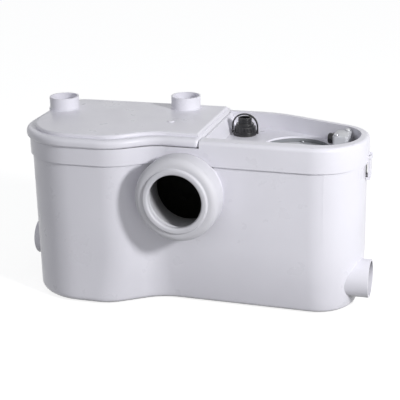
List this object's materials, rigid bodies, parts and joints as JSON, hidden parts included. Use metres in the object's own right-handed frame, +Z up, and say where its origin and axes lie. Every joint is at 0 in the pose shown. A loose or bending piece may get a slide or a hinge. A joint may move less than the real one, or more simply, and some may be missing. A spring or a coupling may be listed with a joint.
{
  "type": "macerator toilet pump",
  "caption": "Macerator pump with a kidney-shaped tank, a rear pan inlet boot, side and top waste inlets, a grinder basket and a sealed motor.",
  "frame": {"origin": "on the floor under the middle of the whole pump's bounding box", "axes": "+X to the right end with the motor, +Y to the back against the wall, +Z up; the pan inlet points along -Y"},
  "size_m": [0.526, 0.234, 0.2795],
  "materials": {
    "shell_white": "smooth moulded, slightly glossy",
    "boot_rubber": "matt white rubber",
    "black_rubber": "matt",
    "black_plastic": "moulded, low sheen",
    "grey_plastic": "moulded",
    "pale_plastic": "moulded",
    "carbon_felt": "activated carbon felt",
    "stainless": "brushed",
    "zinc_steel": "zinc plated",
    "motor_steel": "drawn sheet and laminations",
    "cast_alloy": "as cast",
    "copper_enamel": "enamelled winding wire",
    "capacitor_can": "drawn can"
  },
  "bodies": {
    "pump_body": {"boot_ring": "grey_plastic", "cable_gland": "pale_plastic", "capacitor": "capacitor_can", "chamber_screws": "zinc_steel", "check_pin": "stainless", "check_valve_body": "grey_plastic", "check_valve_cap": "grey_plastic", "clip_pin": "stainless", "connector_seal": "black_rubber", "diaphragm": "black_rubber", "discharge_connector": "black_plastic", "gland_nut": "pale_plastic", "grinder_basket": "stainless", "housing_gasket": "black_rubber", "housing_screws": "zinc_steel", "left_valve_pin": "stainless", "left_valve_seat": "grey_plastic", "lower_bearing": "motor_steel", "microswitch": "pale_plastic", "motor_can": "motor_steel", "motor_chamber": "grey_plastic", "motor_cover": "pale_plastic", "motor_cover_screws": "zinc_steel", "motor_flange": "cast_alloy", "pan_boot": "boot_rubber", "plunger_spring": "stainless", "pressure_bell": "grey_plastic", "pump_pillars": "stainless", "pump_screws": "zinc_steel", "pump_volute": "grey_plastic", "right_valve_pin": "stainless", "right_valve_seat": "grey_plastic", "riser_pipe": "grey_plastic", "rubber_feet": "black_rubber", "shaft_seal": "black_rubber", "stator_core": "motor_steel", "stator_windings": "copper_enamel", "switch_housing": "grey_plastic", "tank": "shell_white", "terminal_box": "pale_plastic", "terminal_box_cover": "pale_plastic", "terminal_screws": "zinc_steel", "top_housing": "shell_white", "upper_bearing": "motor_steel", "volute_cover": "grey_plastic"},
    "rotor": {"motor_shaft": "stainless", "rotor_core": "motor_steel", "impeller": "black_plastic", "impeller_nut": "stainless", "cutter": "stainless"},
    "left_flap": {"left_valve_flap": "black_rubber"},
    "right_flap": {"right_valve_flap": "black_rubber"},
    "discharge_flap": {"check_flap": "black_rubber"},
    "plunger": {"switch_plunger": "pale_plastic"},
    "cover": {"chamber_cover": "shell_white", "cover_seal": "black_rubber", "vent_cap": "shell_white", "vent_filter": "carbon_felt"},
    "clip": {"end_clip": "shell_white"},
    "bail": {"connector_bail": "black_plastic"}
  },
  "joints": [
    {"name": "rotor_spin", "type": "hinge", "parent": "pump_body", "child": "rotor", "pos_m": [0.146, 0.02, 0.15], "axis": [0, 0, 1], "continuous": true},
    {"name": "left_flap_swing", "type": "hinge", "parent": "pump_body", "child": "left_flap", "pos_m": [-0.2294, 0.01, 0.0803], "axis": [0, -1, 0], "range_deg": [0, 45]},
    {"name": "right_flap_swing", "type": "hinge", "parent": "pump_body", "child": "right_flap", "pos_m": [0.2294, -0.016, 0.0683], "axis": [0, 1, 0], "range_deg": [0, 45]},
    {"name": "discharge_flap_swing", "type": "hinge", "parent": "pump_body", "child": "discharge_flap", "pos_m": [0.045, 0.061, 0.1534], "axis": [0, -1, 0], "range_deg": [0, 60]},
    {"name": "plunger_travel", "type": "slide", "parent": "pump_body", "child": "plunger", "axis": [0, 0, 1], "range_m": [0, 0.002], "stiffness_N_per_m": 300, "springref_m": -0.001, "deforming": ["plunger_spring"]},
    {"name": "cover_lift", "type": "slide", "parent": "pump_body", "child": "cover", "axis": [0, 0, 1], "range_m": [0, 0.08]},
    {"name": "clip_swing", "type": "hinge", "parent": "pump_body", "child": "clip", "pos_m": [0.2552, 0.004, 0.224], "axis": [0, -1, 0], "range_deg": [0, 75]},
    {"name": "bail_swing", "type": "hinge", "parent": "pump_body", "child": "bail", "pos_m": [0.059, 0.061, 0.23385], "axis": [-1, 0, 0], "range_deg": [0, 85]}
  ]
}
